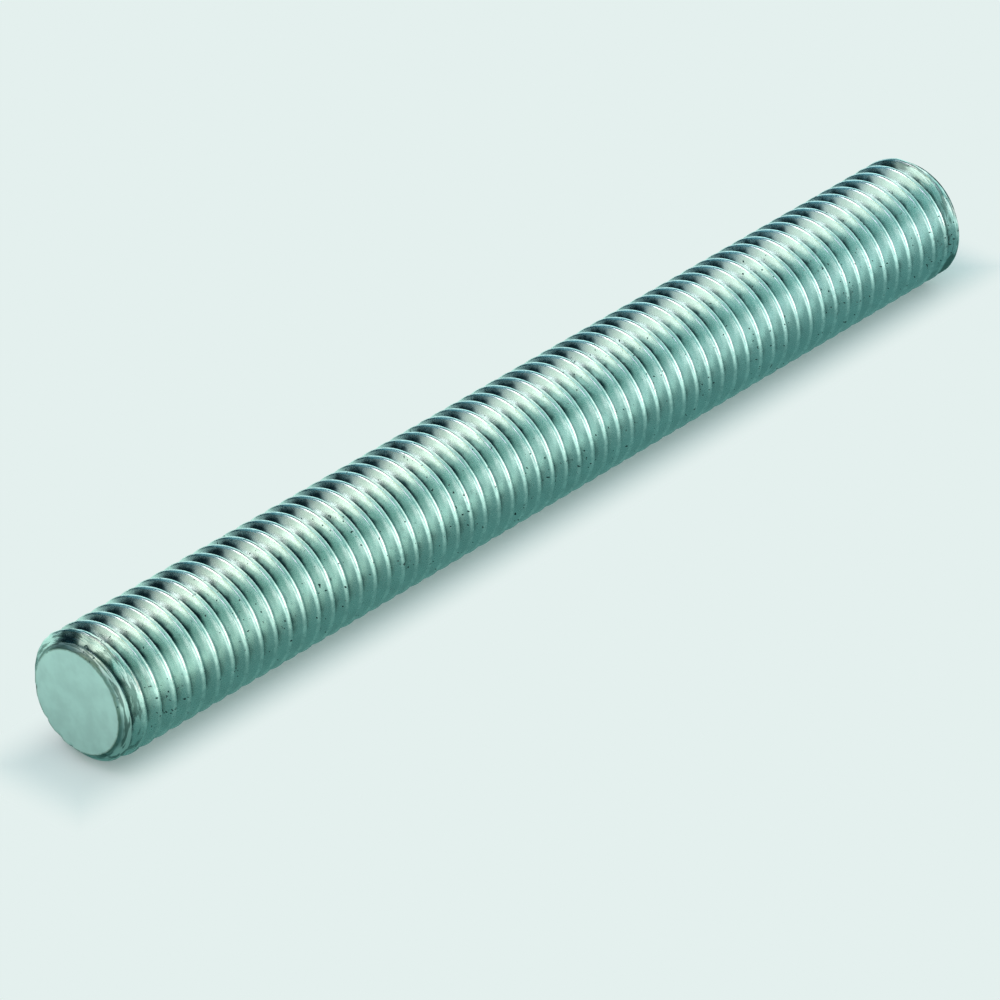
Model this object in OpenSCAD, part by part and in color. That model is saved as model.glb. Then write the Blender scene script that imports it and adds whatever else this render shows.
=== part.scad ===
/* [Thread] */
// Nominal diameter of the thread
thread_d = 12; // [8:0.5:24]
// Distance along the rod from one crest to the next
pitch = 1.75; // [1:0.05:2.5]
// Angle between the two flanks of a groove
flank_angle = 60; // [50:1:70]
// How far the thread's diameters lie under their basic sizes
allowance = 0.11; // [0:0.01:0.4]

/* [Rod] */
// Length over the two end faces
rod_l = 110; // [40:1:180]
// Angle between each end's chamfer and the axis
chamfer_angle = 45; // [25:1:55]
// How far the rim of an end face lies inside the root of the thread
rim_step = 0.07; // [0.02:0.01:0.6]

/* [Surface] */
// Most triangles that the surface may take
facet_limit = 11800; // [6000:100:11900]

/* [Hidden] */

// Section of one tooth: a crest flat of an eighth of the pitch, straight flanks,
// and a root flat of a sixth of the pitch between it and the next tooth
crest_w = pitch / 8;
root_w = pitch / 6;
flank_w = (pitch - crest_w - root_w) / 2;
tooth_w = 2 * flank_w + crest_w;
flank_slope = 1 / tan(flank_angle / 2);
crest_r = (thread_d - allowance) / 2;
root_r = crest_r - flank_w * flank_slope;

// The chamfers run from the crests down to a rim just inside the root
rim_r = root_r - rim_step;
chamfer_slope = tan(chamfer_angle);

// A column is a line of section corners up the rod
corners = len(low_tooth(0));
teeth = ceil(rod_l / pitch) + 2;
rows = corners * teeth;
columns = 2 * floor(facet_limit * pitch / (4 * corners * (rod_l + pitch)));

// A corner is [radius, height]. One on the root, held to the chamfer and the end face
function root_corner(z) =
    z <= 0 ? [rim_r, 0] : [min(root_r, rim_r + chamfer_slope * z), z];

// A crest corner: where it is cut away, it slides down its flank to the chamfer, and
// where the whole flank is gone, it joins the corner before it
function crest_corner(z, cut_z, before) =
    let (cut_r = rim_r + chamfer_slope * cut_z)
    cut_r >= crest_r ? [crest_r, z] : cut_r <= root_r ? before : [cut_r, cut_z];

// The four corners of the tooth whose lower foot is at height z, cut by the lower end
function low_tooth(z) =
    let (
        top = z + tooth_w,
        low_cut = (rim_r - root_r + flank_slope * z) / (flank_slope - chamfer_slope),
        high_cut = (root_r - rim_r + flank_slope * top) / (flank_slope + chamfer_slope),
        foot = root_corner(z),
        low_crest = crest_corner(z + flank_w, low_cut, foot),
        high_crest = crest_corner(top - flank_w, high_cut, low_crest)
    )
    [foot, low_crest, high_crest, root_corner(top)];

// The upper end cuts its teeth as the lower end does, seen upside down
function high_tooth(z) =
    let (turned = low_tooth(rod_l - z - tooth_w))
    [for (k = [corners - 1:-1:0]) [turned[k][0], rod_l - turned[k][1]]];

function tooth(z) = z + tooth_w / 2 < rod_l / 2 ? low_tooth(z) : high_tooth(z);

// Each column starts a little higher than the last, by one pitch in a whole turn,
// which winds the teeth into a right-hand helix
function column(i) = [for (k = [0:teeth - 1]) each tooth(pitch * (k - 1 + i / columns))];

// Rows of a column, each held to the first row that lies at the same corner
function merged(col) =
    [for (g = 0, first = 0; g < rows; g = g + 1, first = g < rows && col[g] != col[g - 1] ? g : first) first];

function polar(corner, angle) = [corner[0] * cos(angle), corner[0] * sin(angle), corner[1]];

// The strip between column i and the next, split into triangles where it has an area
function strip(ids, i) =
    let (j = (i + 1) % columns, lift = j == 0 ? corners : 0)
    [for (g = [1:rows - lift - 1])
        let (
            a = i * rows + ids[i][g - 1],
            b = j * rows + ids[j][g - 1 + lift],
            c = j * rows + ids[j][g + lift],
            d = i * rows + ids[i][g]
        )
        each [if (a != d) [a, d, c], if (b != c) [a, c, b]]];

module threaded_rod() {
    cols = [for (i = [0:columns - 1]) column(i)];
    ids = [for (col = cols) merged(col)];
    points = [for (i = [0:columns - 1]) each [for (corner = cols[i]) polar(corner, 360 * i / columns)]];
    sides = [for (i = [0:columns - 1]) each strip(ids, i)];
    lower_face = [for (i = [0:columns - 1]) i * rows];
    upper_face = [for (i = [columns - 1:-1:0]) i * rows + ids[i][rows - 1]];
    color("#a3bdb7")
        polyhedron(points, concat(sides, [lower_face, upper_face]));
}

threaded_rod();
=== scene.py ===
import bpy
import math
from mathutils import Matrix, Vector


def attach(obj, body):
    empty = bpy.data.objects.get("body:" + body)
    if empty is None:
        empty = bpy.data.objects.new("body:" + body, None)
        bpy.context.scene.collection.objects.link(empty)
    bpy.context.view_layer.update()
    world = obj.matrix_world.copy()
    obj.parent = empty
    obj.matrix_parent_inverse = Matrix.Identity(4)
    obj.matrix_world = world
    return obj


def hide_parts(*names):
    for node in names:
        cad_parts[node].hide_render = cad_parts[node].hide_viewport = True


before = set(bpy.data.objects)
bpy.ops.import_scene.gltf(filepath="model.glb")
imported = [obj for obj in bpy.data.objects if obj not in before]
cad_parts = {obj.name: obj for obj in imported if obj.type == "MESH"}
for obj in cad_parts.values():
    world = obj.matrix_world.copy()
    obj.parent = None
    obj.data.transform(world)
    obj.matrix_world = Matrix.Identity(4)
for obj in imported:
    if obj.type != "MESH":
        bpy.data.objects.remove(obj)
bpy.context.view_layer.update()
mm = 0.001
print("frame loaded")


def deselectAll():
    if bpy.context.object and bpy.context.object.mode != "OBJECT":
        bpy.ops.object.mode_set(mode="OBJECT")
    bpy.ops.object.select_all(action="DESELECT")


def activate(obj):
    deselectAll()
    obj.select_set(True)
    bpy.context.view_layer.objects.active = obj


def editAll():
    bpy.ops.object.mode_set(mode="EDIT")
    bpy.ops.mesh.select_all(action="SELECT")


def editNothing(kind):
    # goes by edit mode, so that the next selection starts empty and is of that kind
    bpy.ops.object.mode_set(mode="EDIT")
    bpy.ops.mesh.select_mode(type=kind)
    bpy.ops.mesh.select_all(action="DESELECT")
    bpy.ops.object.mode_set(mode="OBJECT")


def pickVerts(obj, wanted):
    # selects the vertices for which wanted(place) is true, in edit mode
    editNothing("VERT")
    for vert in obj.data.vertices:
        vert.select = bool(wanted(vert.co))
    bpy.ops.object.mode_set(mode="EDIT")


def outwardAt(degrees):
    # straight out from the rod's axis, at an angle about it
    turn = math.radians(degrees)
    return Vector((math.cos(turn), math.sin(turn), 0))


# the threaded rod
rod = {
    "length": 110 * mm,
    "pitch": 1.75 * mm,
    "crestRadius": 5.945 * mm,
    "rootRadius": 4.8715 * mm,
    "rimRadius": 4.8015 * mm,           # the flat end face inside its 45 degree chamfer
    "crestWidth": 0.40 * mm, "crestRounding": 0.17 * mm, "crestSteps": 4,
    "rootWidth": 0.20 * mm, "rootRounding": 0.08 * mm, "rootSteps": 2,
    "stepsPerTurn": 80,
    "startTurns": 2, "spareTurns": 3,   # turns wound below the lower end, and in all beyond the length
    "spareLength": 1 * mm,              # left beyond each end until the thread is trimmed
    "blankRadius": 6.5 * mm, "blankSides": 160,
    "slack": 0.001 * mm,                # a corner that is so near counts as lying there
    "weldWithin": 0.002 * mm, "cutWithin": 0.0001 * mm,
    "unevenness": 0.03 * mm, "unevenSize": 1.3 * mm,
    "wornReach": 5.5 * mm,              # the first turns at both ends are more ragged, over this length
    "wornBeyond": 0.7 * mm,             # and over this part of the spare length
    "wornDepth": 0.17 * mm, "wornSize": 0.75 * mm,
    "rimLoops": (0.15 * mm, 0.25 * mm), # widths of the loops inside the end faces' rims
    "endNormal": 0.99,                  # how squarely an end's faces look along the rod
    "nickDepth": 0.14 * mm,
    # end, angle in degrees, width in mm
    "nicks": ((1, -96, 0.45), (1, -62, 0.35), (1, -40, 0.50), (1, -23, 0.35), (1, 22, 0.40),
              (0, 40, 0.50), (0, 155, 0.35), (0, -70, 0.40)),
    "smoothUpTo": 28,                   # degrees between two faces; a sharper edge stays sharp
}


def makeSectionWire():
    # one tooth of the thread, drawn from root to root as a wire on the +X side
    depth = rod["crestRadius"] - rod["rootRadius"]
    flank = (rod["pitch"] - rod["crestWidth"] - rod["rootWidth"]) / 2
    bpy.ops.mesh.primitive_plane_add(size=rod["rootWidth"], location=(0, 0, 0))
    wire = bpy.context.object
    wire.name = "rod_thread"
    editAll()
    bpy.ops.mesh.merge(type="CENTER")
    bpy.ops.transform.translate(value=(rod["rootRadius"], 0, 0))
    for x, z in ((0, rod["rootWidth"] / 2), (depth, flank), (0, rod["crestWidth"]), (-depth, flank),
                 (0, rod["rootWidth"] / 2)):
        bpy.ops.mesh.extrude_region_move(TRANSFORM_OT_translate={"value": (x, 0, z)})
    crest = rod["crestRadius"] - rod["slack"]
    pickVerts(wire, lambda co: co.x > crest)
    bpy.ops.mesh.bevel(offset=rod["crestRounding"], segments=rod["crestSteps"], affect="VERTICES")
    foot = rod["rootRadius"] + rod["slack"]
    low, high = rod["slack"], rod["pitch"] - rod["slack"]
    pickVerts(wire, lambda co: co.x < foot and low < co.z < high)
    bpy.ops.mesh.bevel(offset=rod["rootRounding"], segments=rod["rootSteps"], affect="VERTICES")
    bpy.ops.object.mode_set(mode="OBJECT")
    return wire


def windThread(wire):
    # the CAD thread's foot lies at a whole number of pitches on the +X side
    activate(wire)
    editAll()
    bpy.ops.transform.translate(value=(0, 0, -rod["startTurns"] * rod["pitch"] - rod["rootWidth"] / 2))
    bpy.ops.object.mode_set(mode="OBJECT")
    winding = wire.modifiers.new("winding", "SCREW")
    winding.axis = "Z"
    winding.angle = 2 * math.pi
    winding.screw_offset = rod["pitch"]
    winding.iterations = math.ceil(rod["length"] / rod["pitch"]) + rod["spareTurns"]
    winding.steps = rod["stepsPerTurn"]
    winding.render_steps = rod["stepsPerTurn"]
    winding.use_smooth_shade = True
    bpy.ops.object.modifier_apply(modifier="winding")
    editAll()
    bpy.ops.mesh.remove_doubles(threshold=rod["weldWithin"])
    bpy.ops.object.mode_set(mode="OBJECT")


def displaceBy(thread, name, size, strength, group=""):
    # clouds of that size move the surface out and in; with no size, all of the group moves alike
    activate(thread)
    shift = thread.modifiers.new(name, "DISPLACE")
    shift.mid_level = 0
    if size:
        clouds = bpy.data.textures.new(name, "CLOUDS")
        clouds.noise_scale = size
        clouds.noise_depth = 1
        shift.texture = clouds
        shift.texture_coords = "LOCAL"
        shift.mid_level = 0.5
    shift.strength = strength
    shift.vertex_group = group
    bpy.ops.object.modifier_apply(modifier=name)


def roughenThread(thread):
    # a rolled thread is never quite even, and its first turns are the worst
    displaceBy(thread, "uneven", rod["unevenSize"], rod["unevenness"])
    worn = thread.vertex_groups.new(name="worn")
    for vert in thread.data.vertices:
        fromEnd = min(vert.co.z, rod["length"] - vert.co.z)
        share = 1 - abs(fromEnd) / (rod["wornReach"] if fromEnd > 0 else rod["wornBeyond"])
        if share > 0:
            worn.add([vert.index], share, "REPLACE")
    displaceBy(thread, "worn", rod["wornSize"], rod["wornDepth"], "worn")
    thread.vertex_groups.clear()


def cutEnds(thread):
    # both open ends of the winding are cut off square, a little outside the finished rod
    spare = rod["spareLength"]
    activate(thread)
    for height, upper in ((-spare, False), (rod["length"] + spare, True)):
        editAll()
        bpy.ops.mesh.bisect(plane_co=(0, 0, height), plane_no=(0, 0, 1), use_fill=True,
                            clear_inner=not upper, clear_outer=upper, threshold=rod["cutWithin"])
        bpy.ops.object.mode_set(mode="OBJECT")
    editAll()
    bpy.ops.mesh.normals_make_consistent(inside=False)
    bpy.ops.object.mode_set(mode="OBJECT")


def makeBlank():
    # the turned bar with a 45 degree chamfer at each end, which the thread is trimmed to
    deselectAll()
    bpy.ops.mesh.primitive_cylinder_add(vertices=rod["blankSides"], radius=rod["blankRadius"],
                                        depth=rod["length"], location=(0, 0, rod["length"] / 2))
    blank = bpy.context.object
    blank.name = "blank"
    bpy.ops.object.transform_apply(location=True)
    editNothing("EDGE")
    verts = blank.data.vertices
    for edge in blank.data.edges:
        low, high = (verts[corner].co.z for corner in edge.vertices)
        edge.select = abs(low - high) < rod["slack"]
    bpy.ops.object.mode_set(mode="EDIT")
    bpy.ops.mesh.bevel(offset=rod["blankRadius"] - rod["rimRadius"], segments=1, affect="EDGES")
    bpy.ops.object.mode_set(mode="OBJECT")
    return blank


def trimToBlank(thread, blank):
    activate(thread)
    trim = thread.modifiers.new("trim", "BOOLEAN")
    trim.operation = "INTERSECT"
    trim.solver = "EXACT"
    trim.object = blank
    bpy.ops.object.modifier_apply(modifier="trim")
    bpy.data.meshes.remove(blank.data)   # its object goes with it


def nickRims(thread):
    # knocks on the rims of the two end faces; inner loops keep the rest of each face flat
    activate(thread)
    for height in (0, rod["length"]):
        for item in (*thread.data.vertices, *thread.data.edges):
            item.select = False
        for face in thread.data.polygons:
            level = abs(face.center.z - height) < rod["slack"]
            face.select = level and abs(face.normal.z) > rod["endNormal"]
        bpy.ops.object.mode_set(mode="EDIT")
        bpy.ops.mesh.select_mode(type="FACE")
        for width in rod["rimLoops"]:
            bpy.ops.mesh.inset(thickness=width)
        bpy.ops.object.mode_set(mode="OBJECT")
    knocked = thread.vertex_groups.new(name="nicks")
    for end, degrees, width in rod["nicks"]:
        place = outwardAt(degrees) * rod["rimRadius"] + Vector((0, 0, end * rod["length"]))
        for vert in thread.data.vertices:
            share = 1 - (vert.co - place).length / (width * mm)
            if share > 0:
                knocked.add([vert.index], share, "ADD")
    displaceBy(thread, "nicks", 0, -rod["nickDepth"], "nicks")
    thread.vertex_groups.clear()


deselectAll()
thread = makeSectionWire()
windThread(thread)
roughenThread(thread)
cutEnds(thread)
trimToBlank(thread, makeBlank())
nickRims(thread)
activate(thread)
bpy.ops.object.shade_smooth_by_angle(angle=math.radians(rod["smoothUpTo"]))
print("thread wound and trimmed:", len(thread.data.polygons), "faces")


# nodes for the finishes: a value is another node's socket, a number, a vector or a colour
def setSocket(tree, socket, value):
    if isinstance(value, bpy.types.NodeSocket):
        tree.links.new(value, socket)
    elif socket.type == "RGBA":
        socket.default_value = (*value, 1)
    else:
        socket.default_value = value


def mathNode(tree, operation, *values):
    node = tree.nodes.new("ShaderNodeMath")
    node.operation = operation
    for socket, value in zip(node.inputs, values):
        setSocket(tree, socket, value)
    return node.outputs[0]


def times(tree, first, second):
    return mathNode(tree, "MULTIPLY", first, second)


def minus(tree, first, second):
    return mathNode(tree, "SUBTRACT", first, second)


def larger(tree, first, second):
    return mathNode(tree, "MAXIMUM", first, second)


def vectorNode(tree, operation, *values, scale=None):
    node = tree.nodes.new("ShaderNodeVectorMath")
    node.operation = operation
    for socket, value in zip(node.inputs, values):
        setSocket(tree, socket, value)
    if scale is not None:
        setSocket(tree, node.inputs["Scale"], scale)
    return node.outputs["Value" if operation in ("DOT_PRODUCT", "LENGTH") else "Vector"]


def rampNode(tree, value, fromMin, fromMax, toMin=0.0, toMax=1.0):
    node = tree.nodes.new("ShaderNodeMapRange")
    node.interpolation_type = "SMOOTHSTEP"
    for name, number in (("Value", value), ("From Min", fromMin), ("From Max", fromMax),
                         ("To Min", toMin), ("To Max", toMax)):
        setSocket(tree, node.inputs[name], number)
    return node.outputs["Result"]


def mixColours(tree, share, first, second):
    node = tree.nodes.new("ShaderNodeMix")
    node.data_type = "RGBA"
    setSocket(tree, node.inputs["Factor"], share)
    colours = [socket for socket in node.inputs if socket.type == "RGBA"]
    for socket, colour in zip(colours, (first, second)):
        setSocket(tree, socket, colour)
    return [socket for socket in node.outputs if socket.type == "RGBA"][0]


def mixNumbers(tree, share, first, second):
    node = tree.nodes.new("ShaderNodeMix")
    for name, value in (("Factor", share), ("A", first), ("B", second)):
        setSocket(tree, node.inputs[name], value)
    return node.outputs[0]


def noiseNode(tree, vector, size, detail, roughness):
    # size is the width of a cloud, in the vector's own units
    fineness = 1 / size if isinstance(size, (int, float)) else mathNode(tree, "DIVIDE", 1.0, size)
    node = tree.nodes.new("ShaderNodeTexNoise")
    node.inputs["Scale"].default_value = 1.0
    node.inputs["Detail"].default_value = detail
    node.inputs["Roughness"].default_value = roughness
    tree.links.new(vectorNode(tree, "SCALE", vector, scale=fineness), node.inputs["Vector"])
    return node.outputs["Fac"]


def newGroup(name, vectors, numbers, made):
    group = bpy.data.node_groups.new(name, "ShaderNodeTree")
    for labels, direction, kind in ((vectors, "INPUT", "NodeSocketVector"),
                                    (numbers, "INPUT", "NodeSocketFloat"),
                                    (made, "OUTPUT", "NodeSocketFloat")):
        for label in labels:
            group.interface.new_socket(label, in_out=direction, socket_type=kind)
    return group, group.nodes.new("NodeGroupInput").outputs, group.nodes.new("NodeGroupOutput").inputs


def placeGroup(tree, group, label, values):
    node = tree.nodes.new("ShaderNodeGroup")
    node.node_tree = group
    node.label = label
    for name, value in values.items():
        setSocket(tree, node.inputs[name], value)
    return node.outputs


# the rod's zinc plating; all lengths here are in mm
zinc = {
    "colour": (0.70, 0.77, 0.74),            # plating on the flanks
    "tintNear": (1.02, 1.0, 0.98), "tintFar": (0.97, 1.0, 1.03),
    "mottleSize": 1.6, "mottleTone": (0.90, 1.04),
    "cloudSpan": (0.25, 0.75),               # where the values of a cloudy pattern mostly lie
    "grainSize": 0.13, "grainDepth": 0.004, "grainStrength": 0.6,
    "roughness": (0.19, 0.31),               # in the grain's low and high places
    "scuffSize": 0.5, "streakSize": 0.9, "streakMiddle": 0.42,
    "crestWearAndSheenColour": (0.89, 0.92, 0.88),       # crests rubbed bright where the scuffs are, partly a painted sheen that brightens their highlights
    "crestRadii": (5.72, 5.90), "crestScuffs": (0.38, 0.58),
    "grooveShadeColour": (0.30, 0.42, 0.42),      # painted shade at the bottom of the grooves, as a thin dark film
    "grooveShadeRadii": (4.92, 5.15), "grooveShadeRagged": 0.35,
    "grooveShadeAndDirtColour": (0.015, 0.05, 0.065),      # darker grooves along some sides of the rod: partly oily dirt, partly painted shade
    "grooveShadeAndDirtRadii": (4.98, 5.42), "grooveShadeAndDirtRagged": 0.6,
    # those sides: angle and half width in degrees, share, how far the darkening rises above the groove
    "shadedAndDirtySides": ((139, 23, 0.95, 0), (187, 16, 0.94, 0.5), (72, 16, 0.45, 0), (40, 14, 0.55, 0),
                  (258, 22, 0.7, 0), (318, 16, 0.6, 0)),
    "shadedAndDirtyCore": 0.3,                         # part of a side's half width that is dark all over
    "shadeAndDirtShareEnds": 0.8, "shadeAndDirtShareChamfer": 0.3,
    "firstTurns": (0.5, 4.5),                # depth below the ends over which their marks fade
    "scoreColour": (0.09, 0.14, 0.12),       # dark scores along the first turns
    "scoreTurns": (2.5, 2.5, 0), "scoreHeight": 5.0,   # how fast they change round the rod and along it
    "scoreSpan": (0.48, 0.58), "scoreShare": 0.8, "scoreRelief": 25.0,
    "faceColour": (0.65, 0.75, 0.73), "faceRoughness": 0.6, "faceMetallic": 0.30,
    "faceDepths": (0.15, 0.4), "faceRadii": (4.79, 4.83),
    "rimColour": (0.20, 0.25, 0.20),         # dark edge of the end faces
    "rimRadii": (4.64, 4.79), "rimDepths": (0.10, 0.30),
    "rimScuffs": (0.35, 0.60), "rimShares": (0.25, 0.75),
    "chamferBand": (-0.12, -0.04),           # height over the chamfer's cone
    "chamferRoughness": 0.36, "chamferMetallic": 0.85,
    "speckColour": (0.05, 0.09, 0.09), "speckRoughness": 0.3, "speckRelief": 1.2,
    "speckSize": 0.34, "speckPatch": 11.0,   # size of a speck, and of a patch of them in specks
    "speckLevel": 0.86, "speckEdge": 0.05,
    "speckShares": (0.26, 0.31),             # all round, and on the side with the most specks
    "speckSide": 76, "speckSideSpan": (0.88, 0.99),
}


def makeGrainGroup():
    # fine even grain, with a cloudy tone over it
    group, given, made = newGroup("plating_grain", ("Place",), ("Grain Size", "Cloud Size"),
                                  ("Grain", "Cloud"))
    grain = noiseNode(group, given["Place"], given["Grain Size"], detail=3.0, roughness=0.6)
    cloud = noiseNode(group, given["Place"], given["Cloud Size"], detail=2.0, roughness=0.55)
    group.links.new(grain, made["Grain"])
    group.links.new(cloud, made["Cloud"])
    return group


def makeSpeckGroup():
    # scattered dark specks, thick in some places and absent in others
    group, given, made = newGroup("dirt_specks", ("Place",), ("Size", "Share"), ("Mask",))
    patchSize = times(group, given["Size"], zinc["speckPatch"])
    spots = noiseNode(group, given["Place"], given["Size"], detail=1.0, roughness=0.5)
    patches = noiseNode(group, given["Place"], patchSize, detail=1.0, roughness=0.5)
    level = minus(group, zinc["speckLevel"], times(group, given["Share"], patches))
    mask = rampNode(group, minus(group, spots, level), 0.0, zinc["speckEdge"])
    group.links.new(mask, made["Mask"])
    return group


def readPlace(tree):
    # where a point lies on the rod, in mm
    place = vectorNode(tree, "SCALE", tree.nodes.new("ShaderNodeTexCoord").outputs["Object"], scale=1 / mm)
    across = vectorNode(tree, "MULTIPLY", place, (1, 1, 0))
    height = vectorNode(tree, "DOT_PRODUCT", place, (0, 0, 1))
    middle = rod["length"] / mm / 2
    depth = minus(tree, middle, mathNode(tree, "ABSOLUTE", minus(tree, height, middle)))
    return {"place": place, "outward": vectorNode(tree, "NORMALIZE", across), "height": height,
            "radius": vectorNode(tree, "LENGTH", across), "depth": depth}


def findZones(tree, at):
    # shares of the end faces, of all the rest, of the chamfers, of the faces' rims and of the first turns
    face = times(tree, rampNode(tree, at["depth"], *zinc["faceDepths"], 1.0, 0.0),
                 rampNode(tree, at["radius"], *zinc["faceRadii"], 1.0, 0.0))
    thread = minus(tree, 1.0, face)
    overCone = minus(tree, minus(tree, at["radius"], at["depth"]), rod["rimRadius"] / mm)
    chamfer = times(tree, rampNode(tree, overCone, *zinc["chamferBand"]), thread)
    rim = times(tree, rampNode(tree, at["radius"], *zinc["rimRadii"]),
                rampNode(tree, at["depth"], *zinc["rimDepths"], 1.0, 0.0))
    first = times(tree, rampNode(tree, at["depth"], *zinc["firstTurns"], 1.0, 0.0), thread)
    return {"face": face, "thread": thread, "chamfer": chamfer, "rim": rim, "first": first}


def spreadSpecks(tree, at, zones):
    toward = vectorNode(tree, "DOT_PRODUCT", at["outward"], outwardAt(zinc["speckSide"]))
    share = rampNode(tree, toward, *zinc["speckSideSpan"], *zinc["speckShares"])
    specks = placeGroup(tree, makeSpeckGroup(), "specks",
                        {"Size": zinc["speckSize"], "Place": at["place"], "Share": share})["Mask"]
    return times(tree, specks, zones["thread"])


def spreadGrooveShadeAndDirt(tree, at, zones, ragged, streaks):
    # dirt and painted shade darken the grooves unevenly along some sides, and on the first turns all round
    darkened, rise = 0.0, 0.0
    for degrees, half, most, sideRise in zinc["shadedAndDirtySides"]:
        toward = vectorNode(tree, "DOT_PRODUCT", at["outward"], outwardAt(degrees))
        edge, core = (math.cos(math.radians(angle)) for angle in (half, half * zinc["shadedAndDirtyCore"]))
        side = rampNode(tree, toward, edge, core, 0.0, most)
        darkened = larger(tree, darkened, side)
        if sideRise:
            rise = larger(tree, rise, times(tree, side, sideRise))
    darkened = larger(tree, darkened, rampNode(tree, at["depth"], *zinc["firstTurns"], zinc["shadeAndDirtShareEnds"], 0.0))
    streaked = times(tree, minus(tree, streaks, zinc["streakMiddle"]), zinc["grooveShadeAndDirtRagged"])
    level = minus(tree, mathNode(tree, "ADD", ragged, streaked), rise)
    darkened = times(tree, darkened, rampNode(tree, level, *zinc["grooveShadeAndDirtRadii"], 1.0, 0.0))
    darkened = times(tree, darkened, zones["thread"])
    return times(tree, darkened, rampNode(tree, zones["chamfer"], 0.0, 1.0, 1.0, zinc["shadeAndDirtShareChamfer"]))


def drawScores(tree, at):
    # the first turns are streaked along the thread
    lengthwise = tree.nodes.new("ShaderNodeCombineXYZ")
    tree.links.new(times(tree, at["height"], zinc["scoreHeight"]), lengthwise.inputs["Z"])
    around = vectorNode(tree, "MULTIPLY_ADD", at["outward"], zinc["scoreTurns"], lengthwise.outputs[0])
    return noiseNode(tree, around, 1.0, detail=2.0, roughness=0.6)


def makeZincPlate():
    mat = bpy.data.materials.new("zinc_plate")
    mat.use_nodes = True
    tree = mat.node_tree
    shader = tree.nodes["Principled BSDF"].inputs
    at = readPlace(tree)
    zones = findZones(tree, at)
    grain = placeGroup(tree, makeGrainGroup(), "grain", {
        "Grain Size": zinc["grainSize"], "Cloud Size": zinc["mottleSize"], "Place": at["place"]})
    streaks = noiseNode(tree, at["place"], zinc["streakSize"], detail=2.0, roughness=0.6)
    scuffs = noiseNode(tree, at["place"], zinc["scuffSize"], detail=2.0, roughness=0.6)
    scores = drawScores(tree, at)
    ragged = times(tree, minus(tree, grain["Cloud"], 0.5), zinc["grooveShadeRagged"])
    ragged = mathNode(tree, "ADD", at["radius"], ragged)   # the radius, as the uneven groove shade and dirt read it
    grooveShadeAndDirt = spreadGrooveShadeAndDirt(tree, at, zones, ragged, streaks)
    specks = spreadSpecks(tree, at, zones)

    crest = times(tree, rampNode(tree, at["radius"], *zinc["crestRadii"]),
                  rampNode(tree, scuffs, *zinc["crestScuffs"]))
    # painted shade in the bottoms of the grooves
    groove = times(tree, rampNode(tree, ragged, *zinc["grooveShadeRadii"], 1.0, 0.0), zones["thread"])
    tint = mixColours(tree, rampNode(tree, at["height"], 0.0, rod["length"] / mm),
                      zinc["tintFar"], zinc["tintNear"])
    scored = times(tree, rampNode(tree, scores, *zinc["scoreSpan"]),
                   times(tree, zones["first"], zinc["scoreShare"]))
    rim = times(tree, zones["rim"], rampNode(tree, scuffs, *zinc["rimScuffs"], *zinc["rimShares"]))
    tone = rampNode(tree, grain["Cloud"], *zinc["cloudSpan"], *zinc["mottleTone"])
    # crests rubbed bright, partly a painted sheen
    base = mixColours(tree, crest, zinc["colour"], zinc["crestWearAndSheenColour"])
    base = mixColours(tree, zones["face"], base, zinc["faceColour"])
    base = mixColours(tree, groove, base, zinc["grooveShadeColour"])
    base = vectorNode(tree, "MULTIPLY", base, tint)
    # darker grooves along some sides and on the first turns: partly dirt, partly painted shade
    base = mixColours(tree, grooveShadeAndDirt, base, zinc["grooveShadeAndDirtColour"])
    base = mixColours(tree, scored, base, zinc["scoreColour"])
    base = mixColours(tree, rim, base, zinc["rimColour"])
    base = vectorNode(tree, "SCALE", base, scale=tone)
    base = mixColours(tree, specks, base, zinc["speckColour"])
    tree.links.new(base, shader["Base Color"])

    rough = rampNode(tree, grain["Grain"], *zinc["cloudSpan"], *zinc["roughness"])
    rough = mixNumbers(tree, zones["face"], rough, zinc["faceRoughness"])
    rough = mathNode(tree, "ADD", rough, times(tree, specks, zinc["speckRoughness"]))
    rough = larger(tree, rough, times(tree, zones["chamfer"], zinc["chamferRoughness"]))
    tree.links.new(rough, shader["Roughness"])
    metallic = times(tree, rampNode(tree, zones["face"], 0.0, 1.0, 1.0, zinc["faceMetallic"]),
                     rampNode(tree, zones["chamfer"], 0.0, 1.0, 1.0, zinc["chamferMetallic"]))
    tree.links.new(metallic, shader["Metallic"])

    bump = tree.nodes.new("ShaderNodeBump")
    bump.inputs["Strength"].default_value = zinc["grainStrength"]
    bump.inputs["Distance"].default_value = zinc["grainDepth"] * mm
    relief = minus(tree, grain["Grain"], times(tree, specks, zinc["speckRelief"]))
    scratched = times(tree, times(tree, scores, zones["first"]), zinc["scoreRelief"])
    tree.links.new(mathNode(tree, "ADD", relief, scratched), bump.inputs["Height"])
    tree.links.new(bump.outputs["Normal"], shader["Normal"])
    return mat


thread.data.materials.clear()
thread.data.materials.append(makeZincPlate())
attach(thread, "root")
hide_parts("threaded_rod")
print("finish put on")


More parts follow.
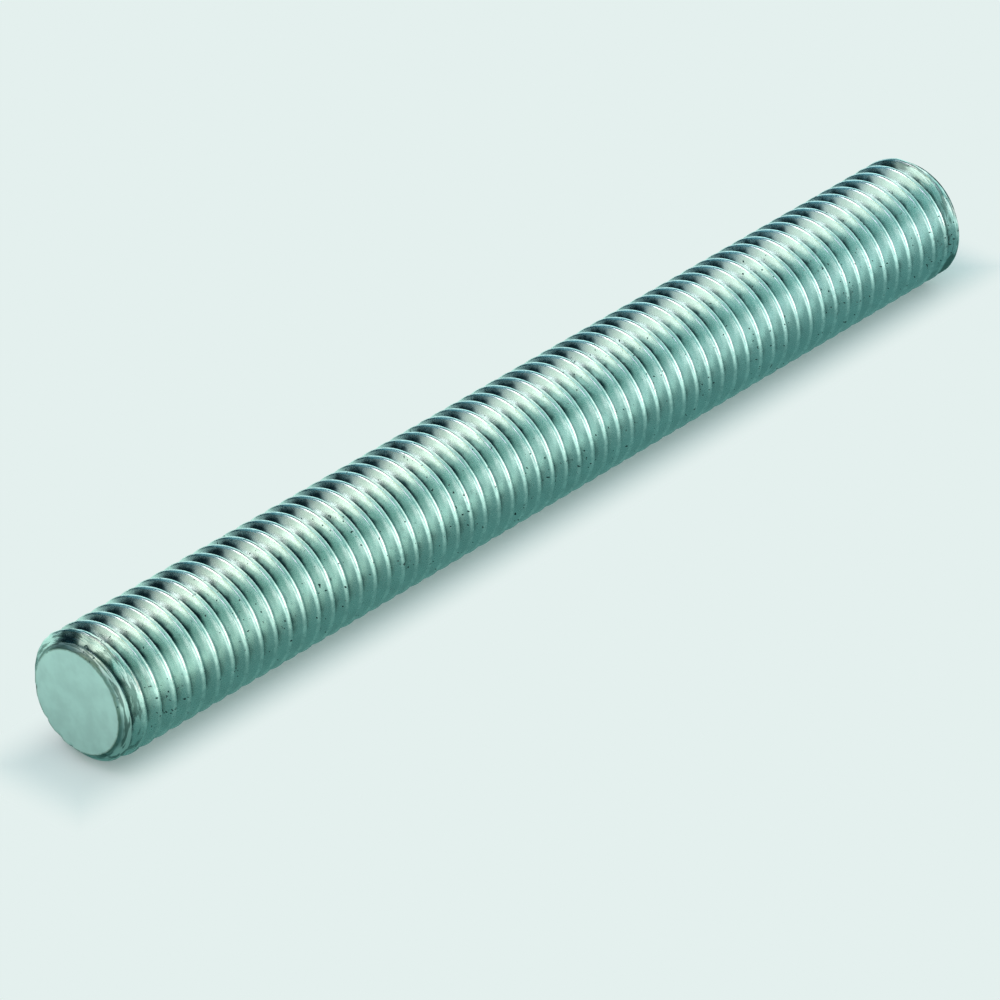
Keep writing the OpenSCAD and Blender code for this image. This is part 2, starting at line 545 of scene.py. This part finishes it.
# the pale surface that the rod lies on
stageLook = {
    "paper": (0.7757, 0.8714, 0.8550),      # the surface and the backdrop, as the camera sees them
    "ownShare": 0.17,                       # share of that colour that shows even in the deepest shadow
    "underLight": (0.80, 0.72, 0.74),       # colour that the room's light turns into the paper's
    "shadeEnds": 2.2 * mm, "evenFrom": 7.9 * mm,   # the rod's shadow fades into even paper between these
    "size": 1.2,
    "drop": 0.01 * mm,                      # how far the surface lies under the rod
    "azimuth": 166.93,                      # where its upper side faces, in degrees about the rod's axis
    "mirrored": (0.68, 1.12, 1.03),         # the open surface as the metal mirrors it
    "mirroredPaintedShadow": (0.085, 0.25, 0.235),  # the same close to the rod, darkened there as a painted shadow
    "closeTo": 4 * mm, "openFrom": 50 * mm,
    "openBeyond": 30 * mm,                  # past the near end it opens within this length
    # painted light: rays that come down steeply, as from the rod's underside, find the paper painted
    # lighter, most of all on its left
    "steepShare": 0.55, "steepFacing": (0.03, 0.11), "steepSides": (-1 * mm, 1 * mm), "steepRight": 0.1,
}

# soft panels round the rod, as seen from it: bearing from the near end turning to the right, and height
# above the surface, in degrees: middle bearing, half width, lowest, highest, softness, colour
panels = {
    "room": (95, 130, -10, 100, 6, (0.15, 0.46, 0.41)),
    "leftShade": (275, 50, 20, 52, 3, (0.06, 0.24, 0.30)),
    "leftDark": (275, 50, -10, 20, 3, (0.0, 0.03, 0.05)),
    "leftLow": (290, 16, -10, 7, 3, (0.16, 0.26, 0.26)),
    "farLeft": (234, 18, 2, 30, 4, (0.62, 0.98, 1.02)),
    "crestWall": (137, 26, -14, 26, 7, (0.56, 0.64, 0.58)),
    "rightWall": (130, 86, -10, 31, 6, (0.33, 0.45, 0.45)),
    "rightWallUpper": (160, 60, 31, 62, 6, (0.13, 0.13, 0.15)),
    "key": (310, 40, 52, 68, 4, (2.60, 2.90, 3.08)),
    "keyInner": (322, 23, 52, 66, 4, (1.11, 0.2, 0.27)),
    "whiteBand": (349, 13, 16, 26, 3, (0.94, 1.06, 1.00)),
    "nearMiddle": (359, 12, 7, 16, 3, (0.16, 0.25, 0.25)),
    "nearLeft": (340, 22, 18, 52, 4, (0.69, 0.6, 0.51)),
    "farStrip": (200, 20, 24, 66, 4, (0.72, 0.62, 0.58)),
    "frontStrip": (65, 20, -12, 26, 6, (0.50, 0.37, 0.41)),
    "rightStrip": (144, 24, -10, 12, 4, (1.45, 0.61, 0.71)),
    "upperStrip": (34, 16, 40, 54, 4, (1.37, 0.97, 1.5)),
    "overhead": (0, 181, 67, 100, 3, (0.42, 0.5, 0.5)),
    "nearLow": (10, 14, -10, 6, 3, (1.12, 1.08, 1.10)),
    "chamferStrip": (42, 9, -6, 20, 5, (0.85, 0.76, 0.70)),
    "nearHigh": (0, 20, 40, 60, 4, (0.45, 0.35, 0.11)),
}

photoCamera = {
    "lens": 269.25, "sensor": 36, "nearest": 0.01, "furthest": 10,
    "place": (-0.24459, 0.435854, 0.472685),
    "turns": (-31.5674, 41.6469, 76.927),   # degrees about X, Y and Z
}

# up from the surface, along the rod to its near end, and to the right of both
upward = outwardAt(stageLook["azimuth"])
nearward = Vector((0, 0, 1))
rightward = upward.cross(nearward)


def shaderNode(tree, kind, colour, strength=None):
    node = tree.nodes.new(kind)
    setSocket(tree, node.inputs["Color"], colour)
    if strength is not None:
        node.inputs["Strength"].default_value = strength
    return node.outputs[0]


def mixShaders(tree, share, first, second):
    node = tree.nodes.new("ShaderNodeMixShader")
    for socket, value in zip(node.inputs, (share, first, second)):
        tree.links.new(value, socket)
    return node.outputs[0]


def makePanelGroup():
    # a soft-edged patch of the room, by bearing and height
    numbers = ("Bearing", "Height", "Middle", "Half Width", "Lowest", "Highest", "Softness")
    group, given, made = newGroup("soft_panel", (), numbers, ("Mask",))
    turned = minus(group, given["Bearing"], given["Middle"])
    away = mathNode(group, "ABSOLUTE", mathNode(group, "WRAP", turned, 180, -180))
    mask = 1.0
    for value, edge, shares in ((away, "Half Width", (1.0, 0.0)), (given["Height"], "Highest", (1.0, 0.0)),
                                (given["Height"], "Lowest", (0.0, 1.0))):
        inner = minus(group, given[edge], given["Softness"])
        outer = mathNode(group, "ADD", given[edge], given["Softness"])
        mask = times(group, mask, rampNode(group, value, inner, outer, *shares))
    group.links.new(mask, made["Mask"])
    return group


def makeWorld():
    # the camera sees the even backdrop, and all other rays meet the panels
    world = bpy.data.worlds.new("pale_room")
    bpy.context.scene.world = world
    world.use_nodes = True
    world.cycles.sampling_method = "MANUAL"
    world.cycles.sample_map_resolution = 512   # fine enough for the smallest panel
    tree = world.node_tree
    tree.nodes.clear()
    direction = tree.nodes.new("ShaderNodeTexCoord").outputs["Generated"]
    up, right, near = (vectorNode(tree, "DOT_PRODUCT", direction, axis)
                       for axis in (upward, rightward, nearward))
    height = times(tree, mathNode(tree, "ARCSINE", up), math.degrees(1))
    bearing = times(tree, mathNode(tree, "ARCTAN2", right, near), math.degrees(1))
    group = makePanelGroup()
    total = (0, 0, 0)
    for name, (middle, half, lowest, highest, softness, colour) in panels.items():
        mask = placeGroup(tree, group, name, {
            "Bearing": bearing, "Height": height, "Middle": middle, "Half Width": half,
            "Lowest": lowest, "Highest": highest, "Softness": softness})["Mask"]
        total = vectorNode(tree, "ADD", total, vectorNode(tree, "SCALE", colour, scale=mask))
    room = shaderNode(tree, "ShaderNodeBackground", total)
    backdrop = shaderNode(tree, "ShaderNodeBackground", stageLook["paper"])
    seen = tree.nodes.new("ShaderNodeLightPath").outputs["Is Camera Ray"]
    tree.links.new(mixShaders(tree, seen, room, backdrop),
                   tree.nodes.new("ShaderNodeOutputWorld").inputs["Surface"])


def makePaper():
    mat = bpy.data.materials.new("pale_surface")
    mat.use_nodes = True
    mat.cycles.emission_sampling = "NONE"   # only mirrored and bounced rays find its glow
    tree = mat.node_tree
    tree.nodes.clear()
    geometry = tree.nodes.new("ShaderNodeNewGeometry").outputs
    across = vectorNode(tree, "DOT_PRODUCT", geometry["Position"], rightward)
    along = vectorNode(tree, "DOT_PRODUCT", geometry["Position"], nearward)
    sideways = mathNode(tree, "ABSOLUTE", across)
    # what the metal mirrors: glowing paper, with a painted shadow that darkens it toward the rod
    weight = tree.nodes.new("ShaderNodeLayerWeight")
    weight.inputs["Blend"].default_value = 0.5   # 0 where a ray comes straight down, 1 where it skims
    slanting = rampNode(tree, weight.outputs["Facing"], *stageLook["steepFacing"])
    # painted light for rays that fall steeply onto the mirrored paper
    steep = times(tree, minus(tree, stageLook["steepShare"], slanting),
                  rampNode(tree, across, *stageLook["steepSides"], 1.0, stageLook["steepRight"]))
    openShare = larger(tree, rampNode(tree, sideways, stageLook["closeTo"], stageLook["openFrom"]), steep)
    beyond = rampNode(tree, along, rod["length"], rod["length"] + stageLook["openBeyond"])
    # painted shadow: the mirrored paper darkens close to the rod
    mirrored = mixColours(tree, openShare, stageLook["mirroredPaintedShadow"], stageLook["mirrored"])
    mirrored = mixColours(tree, beyond, mirrored, stageLook["mirrored"])
    glow = shaderNode(tree, "ShaderNodeEmission", mirrored)
    # what the camera sees: the rod's shadow, which fades into even paper
    shaded = tree.nodes.new("ShaderNodeAddShader")
    lit = shaderNode(tree, "ShaderNodeBsdfDiffuse", stageLook["underLight"])
    own = shaderNode(tree, "ShaderNodeEmission", stageLook["paper"], stageLook["ownShare"])
    tree.links.new(lit, shaded.inputs[0])
    tree.links.new(own, shaded.inputs[1])
    even = shaderNode(tree, "ShaderNodeEmission", stageLook["paper"])
    pastEnds = larger(tree, minus(tree, along, rod["length"]), times(tree, along, -1.0))
    apart = rampNode(tree, larger(tree, pastEnds, sideways), stageLook["shadeEnds"], stageLook["evenFrom"])
    paper = mixShaders(tree, apart, shaded.outputs[0], even)
    seen = tree.nodes.new("ShaderNodeLightPath").outputs["Is Camera Ray"]
    upper = mixShaders(tree, seen, glow, paper)
    # from below, the surface isn't there, and it throws no shadow
    clear = tree.nodes.new("ShaderNodeBsdfTransparent").outputs[0]
    tree.links.new(mixShaders(tree, geometry["Backfacing"], upper, clear),
                   tree.nodes.new("ShaderNodeOutputMaterial").inputs["Surface"])
    return mat


def makeStage():
    deselectAll()
    place = nearward * rod["length"] / 2 - upward * (rod["crestRadius"] + stageLook["drop"])
    bpy.ops.mesh.primitive_plane_add(size=stageLook["size"], location=place)
    surface = bpy.context.object
    surface.name = "stage_surface"
    surface.rotation_euler = upward.to_track_quat("Z", "Y").to_euler()
    surface.data.materials.append(makePaper())


def makeCamera():
    data = bpy.data.cameras.new("photo_camera")
    data.lens = photoCamera["lens"]
    data.sensor_width = photoCamera["sensor"]
    data.clip_start = photoCamera["nearest"]
    data.clip_end = photoCamera["furthest"]
    camera = bpy.data.objects.new("photo_camera", data)
    bpy.context.scene.collection.objects.link(camera)
    camera.location = photoCamera["place"]
    camera.rotation_euler = [math.radians(angle) for angle in photoCamera["turns"]]
    bpy.context.scene.camera = camera


makeStage()
makeWorld()
makeCamera()
bpy.context.scene.view_settings.view_transform = "Standard"
print("stage, light and camera set")
